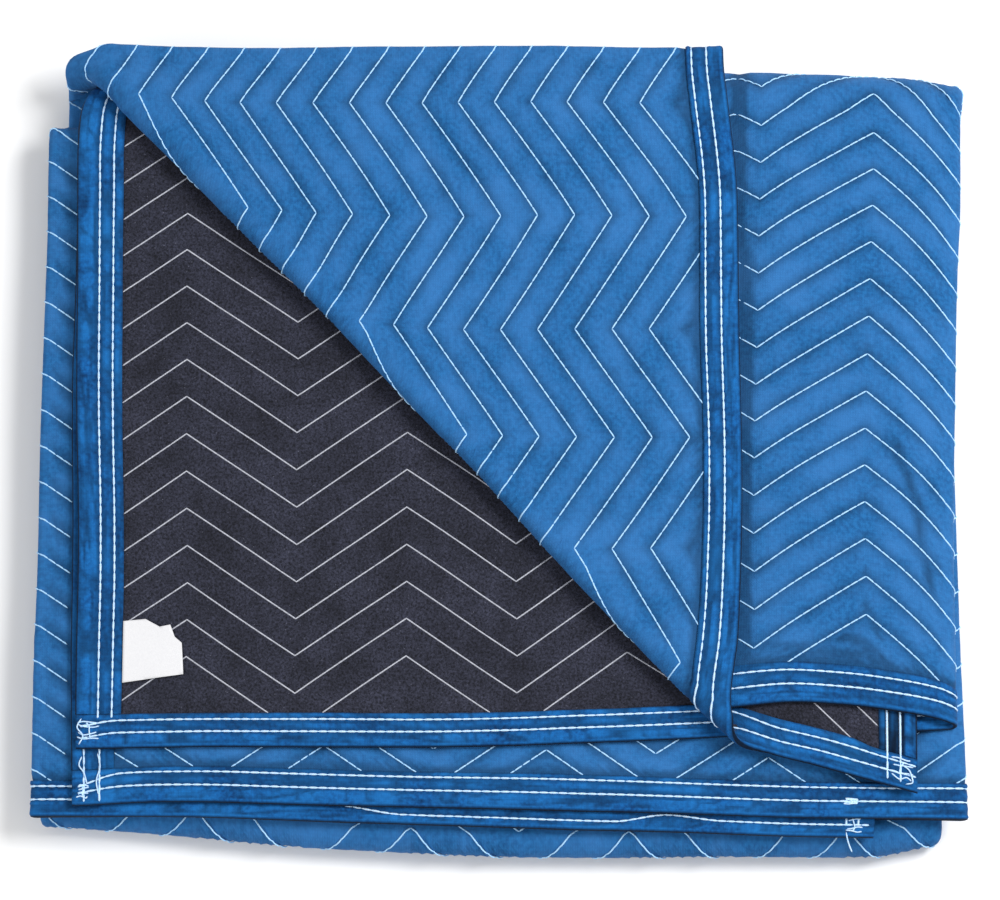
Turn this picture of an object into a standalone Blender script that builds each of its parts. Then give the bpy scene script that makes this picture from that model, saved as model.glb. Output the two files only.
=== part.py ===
"""A quilted moving blanket, folded: two cloth panels, blue and black, with a sewn binding round their edges.

The width is folded in thirds and the length in quarters, which makes a stack of twelve plies. The front
left corner of the top two plies is turned back over a slanting crease.

Every piece is first made flat. There u runs along the quilting lines, v across them, and n is the height
over the middle of the cloth, with the blue side up. folded(u, v, n) then gives the place in the stack.
"""

import math

import bmesh
import bpy
from mathutils import Vector

# The flat blanket, in metres.
WIDTH = 1.852
LENGTH = 2.032
CLOTH = 0.0043  # both panels together
GAP = 0.0003  # between sewn pieces
THIN_PANEL = 0.0008  # a panel where the binding presses it
BINDING_REACH = 0.029
BINDING_CLOTH = 0.0009
PRESSED = BINDING_REACH + 2 * GAP  # a panel is thin this far from its edges
RISE = 0.0027  # and rises to its full thickness over this
FAR = 2 * LENGTH  # past every edge
ON_THE_LINE = 1e-6  # how near a corner counts as lying on a cut
SKEW = 0.2  # of the flat cloth while its faces are made triangles

# The zigzag quilting.
LINE_PITCH = 0.0254
ZIGZAG_PERIOD = 0.1524
ZIGZAG_HEIGHT = 0.0508
FIRST_PEAK = 0.0752  # along u
FIRST_LINE = 0.0162  # the middle of a line, along v
DENT = 0.0012
UNDER_CORNER = 0.03  # how far the black side's quilting runs on under the corner that is turned back

# The label, sewn on the black side beside the binding.
LABEL_U = (0.0296, 0.0730)
LABEL_V = (0.0480, 0.0905)
LABEL_CLIP = (0.007, 0.006)
LABEL_CLOTH = 0.0006

# The stack. The middle of each fold is given on the middle of its cloth.
PLY = 0.0053
RIGHT_X = 0.606
LEFT_X = -0.0178
REAR_Y = 0.448
INNER_REAR_Y = 0.4325
FRONT_FOLD_Y = -0.053
FOLD_FACETS = 4
REAR_FACETS = 8

# The places, across and from front to back, at which the flat pieces are cut before they are folded.
LINES_X = (0.002, 0.235, 0.468, 0.582)
LINES_Y = (0.150, 0.300)

# The corner that is turned back, over a crease on which x + y is CREASE.
CREASE = 0.4803
CREASE_AXIS = 1.5 * PLY + 0.0007  # over the middle of the top strip
CREASE_FACETS = 5
CREASE_ENDS = (REAR_Y - 0.004, REAR_Y + 0.036)
DROOP = 0.3  # the fall of the flap's rear edge for each metre
RIGHT_SINK = 0.10  # the share of its height that the stack loses at its right side
LEFT_SINK = 0.05

# Half of the cloth that the crease uses up, on the middle of its two plies, and where the flap droops.
CREASE_MIDDLE = CREASE_AXIS - PLY / 2
DROOP_FROM = CREASE - LINES_X[0] - math.pi * CREASE_MIDDLE / math.sqrt(2)

# The heights of the middles of the four strips that the quarters make, and how far the folds between reach.
LOW, SECOND, THIRD, TOP = (3 * PLY * (strip + 0.5) for strip in range(4))
REAR_REACH = (TOP - LOW) / 2
FRONT_REACH = (SECOND - LOW) / 2
INNER_REACH = (THIRD - SECOND) / 2

# Where the turns begin and end along the flat cloth.
RIGHT_TURN = RIGHT_X
TOP_START = RIGHT_TURN + math.pi * PLY
LEFT_TURN = TOP_START + RIGHT_X - LEFT_X
TUCK_START = LEFT_TURN + math.pi * PLY / 2
REAR_TURN = REAR_Y
REAR_END = REAR_TURN + math.pi * REAR_REACH
FRONT_TURN = REAR_END + REAR_Y - FRONT_FOLD_Y
FRONT_END = FRONT_TURN + math.pi * FRONT_REACH
INNER_TURN = FRONT_END + INNER_REAR_Y - FRONT_FOLD_Y
INNER_END = INNER_TURN + math.pi * INNER_REACH

# How far back the two cut edges at the front lie, by their place along u.
CORNER_BACK = 0.014  # the same all over the corner that is turned back
TOP_EDGE = (
    # u, back
    (0.000, 0.000),
    (0.300, -0.001),
    (0.450, 0.007),
    (0.616, 0.013),
    (0.700, 0.028),
    (0.760, CORNER_BACK),
    (1.741, CORNER_BACK),
    (1.852, -0.026),
)
LOWER_EDGE = (
    # u, back
    (0.000, -0.036),
    (0.610, -0.046),
    (1.250, -0.042),
    (1.852, -0.057),
)
# How far each fold strays backwards, by its place across.
REAR_STRAY = ((0.468, 0.000), (0.560, -0.004), (0.610, -0.009))
FRONT_STRAY = ((-0.02, 0.022), (0.180, 0.006), (0.320, 0.000), (0.610, 0.000))
INNER_STRAY = ((-0.02, 0.003), (0.300, -0.002), (0.610, 0.002))
# How far the cloth strays to the right, along v: at the left side, and more at the right one.
SIDE_STRAY = (
    # v, left, more at the right
    (0.0, 0.000, 0.000),
    (REAR_TURN, 0.000, -0.002),
    (REAR_END, 0.000, -0.002),
    (FRONT_TURN, -0.002, -0.010),
    (FRONT_END, -0.002, -0.010),
    (INNER_TURN, -0.003, 0.002),
    (INNER_END, -0.003, 0.002),
    (LENGTH, -0.009, 0.010),
)


def mix(a, b, share):
    return a + (b - a) * share


def eased(share):
    share = min(max(share, 0.0), 1.0)
    return share * share * (3 - 2 * share)


def read(table, at, column=1):
    """A value from a table whose first column rises, eased from row to row."""
    if at <= table[0][0]:
        return table[0][column]
    for low, high in zip(table, table[1:]):
        if at <= high[0]:
            return mix(low[column], high[column], eased((at - low[0]) / (high[0] - low[0])))
    return table[-1][column]


def half_turn(share, facets):
    """How far ahead and how far to the side a point of a half circle is, cut into facets."""
    step = math.pi / facets
    facet = min(int(share * facets), facets - 1)
    part = share * facets - facet
    ahead = mix(math.sin(facet * step), math.sin((facet + 1) * step), part)
    side = mix(math.cos(facet * step), math.cos((facet + 1) * step), part)
    return ahead, side


def thirds(u, n):
    """Folds the width: the place across, and the height over the middle of the three plies."""
    if u <= RIGHT_TURN:
        return u, -PLY - n
    if u <= TOP_START:
        ahead, side = half_turn((u - RIGHT_TURN) / (TOP_START - RIGHT_TURN), FOLD_FACETS)
        return RIGHT_X + (PLY + n) * ahead, -(PLY + n) * side
    if u <= LEFT_TURN:
        return RIGHT_X - (u - TOP_START), PLY + n
    if u <= TUCK_START:
        ahead, side = half_turn((u - LEFT_TURN) / (TUCK_START - LEFT_TURN), FOLD_FACETS)
        return LEFT_X - (PLY / 2 + n) * ahead, PLY / 2 + (PLY / 2 + n) * side
    return LEFT_X + (u - TUCK_START), -n


def line_stray(u, v):
    """How far back the cloth is pulled by its uneven edges and folds, on a line of cuts along v."""
    x = thirds(u, 0)[0]
    edge = read(LOWER_EDGE, u) - (INNER_REAR_Y - (LENGTH - INNER_END))
    stations = (
        (0, read(TOP_EDGE, u)),
        (REAR_TURN, read(REAR_STRAY, x)),
        (REAR_END, read(REAR_STRAY, x)),
        (FRONT_TURN, read(FRONT_STRAY, x)),
        (FRONT_END, read(FRONT_STRAY, x)),
        (INNER_TURN, read(INNER_STRAY, x)),
        (INNER_END, read(INNER_STRAY, x)),
        (LENGTH, edge),
    )
    for (low, near), (high, far) in zip(stations, stations[1:]):
        if v <= high:
            return mix(near, far, (v - low) / (high - low))
    return edge


def stray_back(u, v):
    """The stray between two lines of cuts, straight from one to the next so that the pieces stay parallel."""
    lines = sorted([0, *lines_u(), WIDTH])
    for low, high in zip(lines, lines[1:]):
        if u <= high or high == WIDTH:
            return mix(line_stray(low, v), line_stray(high, v), (u - low) / (high - low))


def quarters(v, height):
    """Folds the length: the place from front to back, and the height over the middle of the lowest ply."""
    if v <= REAR_TURN:
        return v, TOP + height
    if v <= REAR_END:
        ahead, side = half_turn((v - REAR_TURN) / (REAR_END - REAR_TURN), REAR_FACETS)
        reach = REAR_REACH + height
        return REAR_Y + reach * ahead, LOW + REAR_REACH + reach * side
    if v <= FRONT_TURN:
        return REAR_Y - (v - REAR_END), LOW - height
    if v <= FRONT_END:
        ahead, side = half_turn((v - FRONT_TURN) / (FRONT_END - FRONT_TURN), FOLD_FACETS)
        reach = FRONT_REACH + height
        return FRONT_FOLD_Y - reach * ahead, LOW + FRONT_REACH - reach * side
    if v <= INNER_TURN:
        return FRONT_FOLD_Y + (v - FRONT_END), SECOND + height
    if v <= INNER_END:
        ahead, side = half_turn((v - INNER_TURN) / (INNER_END - INNER_TURN), FOLD_FACETS)
        reach = INNER_REACH - height
        return INNER_REAR_Y + reach * ahead, SECOND + INNER_REACH - reach * side
    return INNER_REAR_Y - (v - INNER_END), THIRD - height


def turned_back(x, off_x, v, height, back, past):
    """A point of the corner that is turned back, which lies past the crease on the flat strip."""
    y = v + back
    turn = math.pi * (1 - eased((v - CREASE_ENDS[0]) / (CREASE_ENDS[1] - CREASE_ENDS[0])))
    angle = min(past / CREASE_MIDDLE, turn)
    ahead, side = half_turn(angle / math.pi, CREASE_FACETS)
    reach = CREASE_AXIS - height
    rest = past - CREASE_MIDDLE * angle
    along = off_x / math.sqrt(2)
    over = -reach * ahead - rest * math.cos(turn) + along * math.cos(angle)
    height = CREASE_AXIS - reach * side + rest * math.sin(turn) - along * math.sin(angle)
    over += CREASE / math.sqrt(2)
    beside = (x - y + off_x) / math.sqrt(2)
    x, y = (over + beside) / math.sqrt(2), (over - beside) / math.sqrt(2)
    flat_z = TOP + height - DROOP * max(0, y - DROOP_FROM)
    wrapped_y, wrapped_z = quarters(y, height)
    turned = eased(angle / math.pi)
    return x, mix(wrapped_y, y, turned), mix(wrapped_z, flat_z, turned), turned


def settled(x):
    """How much of its height the stack keeps at this place across: it sinks towards its sides."""
    right = min(max((x - LINES_X[-1]) / (RIGHT_X - LINES_X[-1]), 0), 1)
    left = min(max((LINES_X[0] - x) / (LINES_X[0] - LEFT_X), 0), 1)
    return 1 - RIGHT_SINK * right - LEFT_SINK * left


def folded(u, v, n):
    """The place in the folded stack of a point of the flat blanket."""
    x, height = thirds(u, n)
    middle_x = thirds(u, 0)[0]
    back = stray_back(u, v)
    past = (CREASE - middle_x - v - back) / math.sqrt(2)
    keeps = settled(middle_x)
    if u > RIGHT_TURN and v <= REAR_END and past > 0:
        x, y, z, turned = turned_back(middle_x, x - middle_x, v, height, back, past)
        keeps = mix(keeps, 1, turned)
    else:
        y, z = quarters(v, height)
        y += back
        x += read(SIDE_STRAY, v) + read(SIDE_STRAY, v, 2) * x / RIGHT_X
    lowest = PLY / 2 - CLOTH / 2
    return Vector((x, y, (z - lowest) * keeps))


def zigzag(u):
    """How far a quilting line is from its middle, along v."""
    place = (u - FIRST_PEAK) / ZIGZAG_PERIOD % 1
    return ZIGZAG_HEIGHT * (abs(2 * place - 1) - 0.5)


def dent(u, v):
    """How deep the quilting presses the cloth in: fully at a line of stitches, not at all half way."""
    place = (v - zigzag(u) - FIRST_LINE) / LINE_PITCH % 1
    return DENT * abs(2 * place - 1)


def cut(mesh, start, end, side=0, part=None):
    """Cuts the flat piece along a line between two places (u, v), and only between them.

    side 1 cuts the blue side alone, side -1 the black side, and part keeps the cut inside a stretch.
    """
    axis = 0 if start[0] != end[0] else 1
    low, high = sorted((start[axis], end[axis]))
    faces = []
    for face in mesh.faces:
        at = face.calc_center_median()
        facing = not side or face.normal.z * side > 0.5
        if facing and low < at[axis] < high and (part is None or shows(at.x, at.y, part)):
            faces.append(face)
    parts = {vert for face in faces for vert in face.verts}
    parts |= {edge for face in faces for edge in face.edges}
    bmesh.ops.bisect_plane(
        mesh,
        geom=faces + list(parts),
        dist=ON_THE_LINE,
        plane_co=(start[0], start[1], 0),
        plane_no=(end[1] - start[1], start[0] - end[0], 0),
    )


def turn_lines(start, end, facets):
    return [mix(start, end, i / facets) for i in range(facets + 1)]


def lines_u():
    """The cuts across u: at the facets of the two turns, and at the same places across every ply."""
    found = turn_lines(RIGHT_TURN, TOP_START, FOLD_FACETS)
    found += turn_lines(LEFT_TURN, TUCK_START, FOLD_FACETS)
    found += LINES_X
    found += [TOP_START + RIGHT_X - x for x in LINES_X]
    found += [TUCK_START + x - LEFT_X for x in LINES_X[:-1]]
    return found


def lines_v():
    """The cuts across v: at the facets of the three turns, and at the same places in every quarter."""
    found = turn_lines(REAR_TURN, REAR_END, REAR_FACETS)
    found += turn_lines(FRONT_TURN, FRONT_END, FOLD_FACETS)
    found += turn_lines(INNER_TURN, INNER_END, FOLD_FACETS)
    found += LINES_Y
    found += [REAR_END + REAR_Y - y for y in LINES_Y]
    found += [FRONT_END + y - FRONT_FOLD_Y for y in LINES_Y]
    found += [INNER_END + INNER_REAR_Y - y for y in LINES_Y]
    return found


def cut_for_folds(mesh):
    for u in lines_u():
        cut(mesh, (u, -FAR), (u, FAR))
    for v in lines_v():
        cut(mesh, (-FAR, v), (FAR, v))
    ends = [TOP_START] + turn_lines(LEFT_TURN, TUCK_START, FOLD_FACETS) + [WIDTH]
    step = math.pi * CREASE_MIDDLE / CREASE_FACETS
    before = (0, WIDTH, -FAR, REAR_TURN, FAR)
    behind = (0, WIDTH, REAR_TURN, FAR, FAR)
    for low, high in zip(ends, ends[1:]):
        x_low, x_high = thirds(low, 0)[0], thirds(high, 0)[0]
        for i in range(CREASE_FACETS + 1):
            line = CREASE - math.sqrt(2) * step * i
            cut(mesh, (low, line - x_low), (high, line - x_high), part=behind)
            stretch = REAR_TURN / (REAR_TURN - CORNER_BACK)
            line -= CORNER_BACK
            cut(mesh, (low, (line - x_low) * stretch), (high, (line - x_high) * stretch), part=before)


def made(name, mesh, material):
    """Folds the flat piece and makes it an object. Folding turns left into right, so the faces are turned too.

    It is skewed while it is made triangles, so that layers with the same cuts get the same triangles.
    """
    bmesh.ops.recalc_face_normals(mesh, faces=mesh.faces)
    for vert in mesh.verts:
        vert.co.y += SKEW * vert.co.x
    bmesh.ops.triangulate(mesh, faces=mesh.faces, quad_method="SHORT_EDGE")
    for vert in mesh.verts:
        vert.co.y -= SKEW * vert.co.x
    for vert in mesh.verts:
        vert.co = folded(*vert.co)
    bmesh.ops.reverse_faces(mesh, faces=mesh.faces)
    data = bpy.data.meshes.new(name)
    mesh.to_mesh(data)
    mesh.free()
    data.materials.append(material)
    piece = bpy.data.objects.new(name, data)
    bpy.context.scene.collection.objects.link(piece)
    return piece


def material(name, colour, roughness):
    """A plain cloth finish."""
    made_material = bpy.data.materials.new(name)
    made_material.use_nodes = True
    shader = made_material.node_tree.nodes["Principled BSDF"]
    shader.inputs["Base Color"].default_value = (*colour, 1)
    shader.inputs["Roughness"].default_value = roughness
    shader.inputs["Metallic"].default_value = 0
    return made_material


def slab(low, high):
    """A flat block between two corners (u, v, n)."""
    mesh = bmesh.new()
    bmesh.ops.create_cube(mesh, size=1)
    for vert in mesh.verts:
        vert.co = [mix(a, b, c + 0.5) for a, b, c in zip(low, high, vert.co)]
    return mesh


def quilted_parts(side):
    """The stretches of one side that show: u from, u to, v from, v to, and the most that x + v may be."""
    flat_again = CREASE - math.sqrt(2) * math.pi * CREASE_MIDDLE
    if side < 0:
        return [(LINES_X[0], RIGHT_TURN, 0, REAR_TURN, CREASE + UNDER_CORNER)]
    return [
        (TOP_START, TOP_START + RIGHT_X - LINES_X[2], 0, REAR_TURN, LENGTH),
        (TOP_START, LEFT_TURN, REAR_TURN, REAR_END, LENGTH),
        (TOP_START, LEFT_TURN, FRONT_TURN, FRONT_END, LENGTH),
        (TUCK_START, WIDTH, 0, REAR_TURN, flat_again),
    ]


def shows(u, v, part):
    """Whether a place lies inside a stretch that shows."""
    from_u, to_u, from_v, to_v, most = part
    return from_u < u < to_u and from_v < v < to_v and thirds(u, 0)[0] + v < most - GAP


def cut_quilting(mesh, side):
    """Cuts one side along the zigzag lines and half way between them, where it shows."""
    half = ZIGZAG_PERIOD / 2
    for part in quilted_parts(side):
        from_u, to_u, from_v, to_v, most = part
        first = math.ceil((from_u - FIRST_PEAK) / half)
        last = math.floor((to_u - FIRST_PEAK) / half)
        columns = [from_u] + [FIRST_PEAK + half * i for i in range(first, last + 1)] + [to_u]
        for u in columns[1:-1]:
            cut(mesh, (u, from_v), (u, to_v), side, part)
        for low, high in zip(columns, columns[1:]):
            rises = zigzag(low), zigzag(high)
            row = math.ceil((from_v - max(rises) - FIRST_LINE) / (LINE_PITCH / 2))
            v = FIRST_LINE + row * LINE_PITCH / 2
            while v + min(rises) < to_v:
                cut(mesh, (low, v + rises[0]), (high, v + rises[1]), side, part)
                v += LINE_PITCH / 2


def panel(name, side, finish):
    """One cloth panel, thin where the binding holds it and dented along the quilting."""
    inset = BINDING_CLOTH + 3 * GAP
    inner, outer = side * GAP / 2, side * CLOTH / 2
    mesh = slab((inset, inset, min(inner, outer)), (WIDTH - inset, LENGTH - inset, max(inner, outer)))
    for reach in (PRESSED, PRESSED + RISE):
        for at in (reach, WIDTH - reach):
            cut(mesh, (at, -FAR), (at, FAR))
        for at in (reach, LENGTH - reach):
            cut(mesh, (-FAR, at), (FAR, at))
    cut_for_folds(mesh)
    cut_quilting(mesh, side)
    for vert in mesh.verts:
        u, v, n = vert.co
        if abs(n) < CLOTH / 4:
            continue
        edge = min(u, WIDTH - u, v, LENGTH - v)
        if edge < PRESSED + RISE / 2:
            vert.co.z = inner + side * THIN_PANEL
        elif any(shows(u, v, part) for part in quilted_parts(side)):
            vert.co.z = outer - side * dent(u, v)
    return made(name, mesh, finish)


def binding(name, finish, at_u=None, at_v=None):
    """A strip folded round one edge, with the panels' edges in its slot. It lies at one u or one v."""
    low, high = 0, WIDTH
    if at_v is None:
        low, high = BINDING_REACH + GAP, LENGTH - BINDING_REACH - GAP
    lips = CLOTH / 2 - BINDING_CLOTH
    mesh = bmesh.new()
    section = (
        (0, -CLOTH / 2),
        (0, CLOTH / 2),
        (BINDING_REACH, CLOTH / 2),
        (BINDING_REACH, lips),
        (BINDING_CLOTH, lips),
        (BINDING_CLOTH, -lips),
        (BINDING_REACH, -lips),
        (BINDING_REACH, -CLOTH / 2),
    )
    face = mesh.faces.new([mesh.verts.new((reach, low, n)) for reach, n in section])
    grown = bmesh.ops.extrude_face_region(mesh, geom=[face])["geom"]
    for vert in grown:
        if isinstance(vert, bmesh.types.BMVert):
            vert.co.y = high
    for vert in mesh.verts:
        reach, along, n = vert.co
        if at_v is None:
            vert.co = (abs(at_u - reach), along, n)
        else:
            vert.co = (along, abs(at_v - reach), n)
    cut_for_folds(mesh)
    return made(name, mesh, finish)


def label(name, finish):
    """The bare label, with one corner clipped."""
    outside = -CLOTH / 2 - GAP
    mesh = bmesh.new()
    outline = (
        (LABEL_U[0], LABEL_V[0]),
        (LABEL_U[1], LABEL_V[0]),
        (LABEL_U[1], LABEL_V[1] - LABEL_CLIP[1]),
        (LABEL_U[1] - LABEL_CLIP[0], LABEL_V[1]),
        (LABEL_U[0], LABEL_V[1]),
    )
    face = mesh.faces.new([mesh.verts.new((u, v, outside)) for u, v in outline])
    grown = bmesh.ops.extrude_face_region(mesh, geom=[face])["geom"]
    for vert in grown:
        if isinstance(vert, bmesh.types.BMVert):
            vert.co.z -= LABEL_CLOTH
    return made(name, mesh, finish)


def main():
    for old in list(bpy.data.objects):
        bpy.data.objects.remove(old)
    blue = material("blue_cloth", (0.030, 0.150, 0.420), 0.85)
    black = material("black_cloth", (0.026, 0.026, 0.032), 0.9)
    edging = material("blue_binding", (0.012, 0.110, 0.360), 0.75)
    white = material("white_label", (0.80, 0.80, 0.80), 0.6)
    pieces = [
        panel("face_panel", 1, blue),
        panel("back_panel", -1, black),
        binding("front_binding", edging, at_v=0),
        binding("lower_binding", edging, at_v=LENGTH),
        binding("left_binding", edging, at_u=0),
        binding("tucked_binding", edging, at_u=WIDTH),
        label("label", white),
    ]
    corners = [vert.co for piece in pieces for vert in piece.data.vertices]
    middle = Vector((0, 0, 0))
    for axis in (0, 1):
        places = [corner[axis] for corner in corners]
        middle[axis] = (min(places) + max(places)) / 2
    for piece in pieces:
        for vert in piece.data.vertices:
            vert.co -= middle


main()
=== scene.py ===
"""The looks of a folded, quilted moving blanket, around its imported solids."""

import bisect
import math
import random

import bmesh
import bpy
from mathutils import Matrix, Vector, noise


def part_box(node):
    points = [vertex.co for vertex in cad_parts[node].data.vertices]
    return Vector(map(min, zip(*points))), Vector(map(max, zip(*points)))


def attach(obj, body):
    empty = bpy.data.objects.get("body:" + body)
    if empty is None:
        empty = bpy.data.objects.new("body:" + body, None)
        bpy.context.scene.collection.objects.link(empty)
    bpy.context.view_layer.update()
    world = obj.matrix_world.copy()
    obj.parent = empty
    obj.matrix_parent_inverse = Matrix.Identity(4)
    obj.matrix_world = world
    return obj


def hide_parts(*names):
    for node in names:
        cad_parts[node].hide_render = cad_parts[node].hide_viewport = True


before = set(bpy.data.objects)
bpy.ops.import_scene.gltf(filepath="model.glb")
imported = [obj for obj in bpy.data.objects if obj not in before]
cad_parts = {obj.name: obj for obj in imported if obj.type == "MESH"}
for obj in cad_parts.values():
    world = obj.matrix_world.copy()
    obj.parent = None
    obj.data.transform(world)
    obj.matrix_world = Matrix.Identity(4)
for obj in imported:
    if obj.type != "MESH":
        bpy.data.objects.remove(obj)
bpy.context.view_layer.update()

# ---------------------------------------------------------------- The blue cloth
# The face of the blanket: one panel of plain woven polyester, quilted in zigzag rows to the black cloth
# behind it with a thin batting between. The blanket is folded in thirds across and in quarters from front
# to back, and the front left corner of its two top plies is turned back.

# The flat blanket, in metres. u runs along the quilting rows, v across them, and n is the height over the
# middle of the cloth, with the blue side up.
WIDTH = 1.852
LENGTH = 2.032
CLOTH = 0.0043  # how thick the two cloths are together, between the quilting rows
PRESSED_CLOTH = 0.0014  # and inside a tape
LINE_PITCH = 0.0254
ZIGZAG_PERIOD = 0.1524
ZIGZAG_HEIGHT = 0.0508
FIRST_PEAK = 0.0752
FIRST_LINE = 0.0100

# The stack, as in the solids: how far its plies are apart, and where its turns have their middles.
PLY = 0.0053
RIGHT_X = 0.606
LEFT_X = -0.0178
REAR_Y = 0.448
INNER_REAR_Y = 0.4325
FRONT_FOLD_Y = -0.053
# How high the middle of each quarter is, which is three plies thick, and how far each fold reaches round
# its own middle.
LOW, SECOND, THIRD, TOP = (3 * PLY * (strip + 0.5) for strip in range(4))
REAR_REACH = (TOP - LOW) / 2
FRONT_REACH = (SECOND - LOW) / 2
INNER_REACH = (THIRD - SECOND) / 2
# The crease of the turned-back corner: the x + y along it, how high the axis of the turn is over the middle
# of the top quarter, and how far the middle of its two plies is from the axis.
CREASE = 0.4803
CREASE_AXIS = 1.5 * PLY + 0.0007
CREASE_MIDDLE = CREASE_AXIS - PLY / 2
# The turn opens out between these two places at the rear fold, and the corner droops over the fold: how
# steeply, and from where.
CREASE_ENDS = (REAR_Y - 0.004, REAR_Y + 0.036)
DROOP = 0.36
DROOP_FROM = 0.462
# Where the stack begins to sink at the left and at the right, and what share of its height it loses there.
SINK_FROM = (0.004, 0.570)
LEFT_SINK = 0.06
RIGHT_SINK = 0.10

# Where the turns begin and end along the flat cloth.
RIGHT_TURN = RIGHT_X
TOP_START = RIGHT_TURN + math.pi * PLY
LEFT_TURN = TOP_START + RIGHT_X - LEFT_X
TUCK_START = LEFT_TURN + math.pi * PLY / 2
REAR_TURN = REAR_Y
REAR_END = REAR_TURN + math.pi * REAR_REACH
FRONT_TURN = REAR_END + REAR_Y - FRONT_FOLD_Y
FRONT_END = FRONT_TURN + math.pi * FRONT_REACH
INNER_TURN = FRONT_END + INNER_REAR_Y - FRONT_FOLD_Y
INNER_END = INNER_TURN + math.pi * INNER_REACH


def mix(a, b, share):
    return a + (b - a) * share


def eased(share):
    share = min(max(share, 0.0), 1.0)
    return share * share * (3 - 2 * share)


def curve(*rows):
    """A smooth curve through rows (at, value), in rising order, that never swings beyond them."""
    ats, values = zip(*rows)
    rises = [(b - a) / (q - p) for a, b, p, q in zip(values, values[1:], ats, ats[1:])]
    inner = [2 * a * b / (a + b) if a * b > 0 else 0.0 for a, b in zip(rises, rises[1:])]
    slopes = [rises[0], *inner, rises[-1]]

    def value(at):
        i = bisect.bisect_right(ats, at) - 1
        if i < 0:
            return values[0]
        if i >= len(rises):
            return values[-1]
        step = ats[i + 1] - ats[i]
        t = (at - ats[i]) / step
        bend = slopes[i] * (1 - t) - slopes[i + 1] * t
        return mix(values[i], values[i + 1], eased(t)) + step * t * (1 - t) * bend

    return value


def columns(*rows):
    """One curve for each column of a table, after the first."""
    return [curve(*((row[0], row[i]) for row in rows)) for i in range(1, len(rows[0]))]


# How far the cloth has slipped back along its plies: at the front edge, and at the rear fold behind it.
FRONT_SLIP, REAR_SLIP = columns(
    # u, front, rear
    (0.000, 0.0045, 0.010),
    (0.300, 0.0055, 0.010),
    (0.450, 0.0125, 0.014),
    (0.606, 0.0180, 0.030),
    (0.630, 0.0230, 0.035),
    (0.650, 0.0262, 0.038),
    (0.700, 0.0325, 0.044),
    (0.745, 0.0352, 0.046),
    (0.775, 0.0350, 0.042),
    (0.800, 0.0185, 0.022),
    (1.260, 0.0190, 0.016),
    (1.360, 0.0110, 0.015),
    (1.560, 0.0095, 0.015),
    (1.660, 0.0115, 0.014),
    (1.700, 0.0140, 0.014),
    (1.725, 0.0110, 0.012),
    (1.765, -0.0026, 0.007),
    (1.800, -0.0125, -0.003),
    (1.852, -0.0272, -0.018),
)
# And where the lower cut edge lies, with the cloth behind it slipped as far.
LOWER_EDGE = curve(
    # u, from front to back
    (0.000, -0.035),
    (0.060, -0.0325),
    (0.250, -0.036),
    (0.610, -0.044),
    (1.250, -0.042),
    (1.852, -0.057),
)
LEVEL_LOWER_EDGE = INNER_REAR_Y - (LENGTH - INNER_END)
# How far the cut ends of two plies are drawn in at the lower edge.
LEFT_DRAWN_IN = curve((LENGTH - 0.30, 0.0), (LENGTH, 0.007))
TUCKED_DRAWN_IN = curve((LENGTH - 0.30, 0.0), (LENGTH, 0.031))
# How far each fold strays backwards, by its place across.
REAR_STRAY = curve((0.468, 0.0055), (0.560, 0.0020), (0.610, -0.0040))
FRONT_STRAY = curve((-0.02, 0.022), (0.180, 0.006), (0.320, 0.000), (0.560, 0.000), (0.612, 0.009))
INNER_STRAY = curve((-0.02, 0.003), (0.300, -0.002), (0.610, 0.002))
LEFT_STRAY, RIGHT_STRAY = columns(
    # v, at the left, at the right
    (0.0, 0.0005, -0.0017),
    (0.100, 0.0003, -0.0017),
    (0.230, -0.0017, 0.0034),
    (0.310, -0.0026, 0.0067),
    (0.360, -0.0030, 0.0095),
    (0.400, -0.0030, 0.0101),
    (0.430, -0.0015, 0.0105),
    (REAR_TURN, 0.0020, 0.0105),
    (REAR_TURN + 0.014, 0.0070, 0.0095),
    (REAR_TURN + 0.035, 0.0088, 0.0060),
    (REAR_END, 0.0074, 0.002),
    (REAR_END + 0.06, 0.0043, 0.000),
    (FRONT_TURN, -0.0033, -0.016),
    (FRONT_END, -0.0033, -0.016),
    (INNER_TURN, -0.003, -0.003),
    (INNER_END, -0.003, -0.003),
    (LENGTH - 0.19, -0.007, -0.0045),
    (LENGTH, -0.009, 0.000),
)
# At the right the top rounds off softly: how far its side is drawn in, and from how far away.
SHOULDER = 0.005
SHOULDER_WIDTH = 0.045
# The crease of the corner is bowed: how far it lies from a straight line, by the place along it.
BOW = curve(
    (-0.36, 0.004), (-0.31, 0.0075), (-0.085, 0.0070), (0.027, 0.0025), (0.08, 0.0), (0.211, -0.004),
    (0.28, -0.006), (0.36, 0.0),
)
BOW_REACH = 0.03  # how far from the crease the bow dies away
# The corner is stretched a little where it lies over the rear fold.
STRETCH = 0.0085
STRETCH_FROM, STRETCH_TO = 0.30, 0.452


def thirds(u, n):
    """Folds the width: the place across, and the height over the middle of the three plies."""
    if u <= RIGHT_TURN:
        return u, -PLY - n
    if u <= TOP_START:
        angle = (u - RIGHT_TURN) / PLY
        return RIGHT_X + (PLY + n) * math.sin(angle), -(PLY + n) * math.cos(angle)
    if u <= LEFT_TURN:
        return RIGHT_X - (u - TOP_START), PLY + n
    if u <= TUCK_START:
        angle = (u - LEFT_TURN) / (PLY / 2)
        return LEFT_X - (PLY / 2 + n) * math.sin(angle), PLY / 2 + (PLY / 2 + n) * math.cos(angle)
    return LEFT_X + (u - TUCK_START), -n


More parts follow.
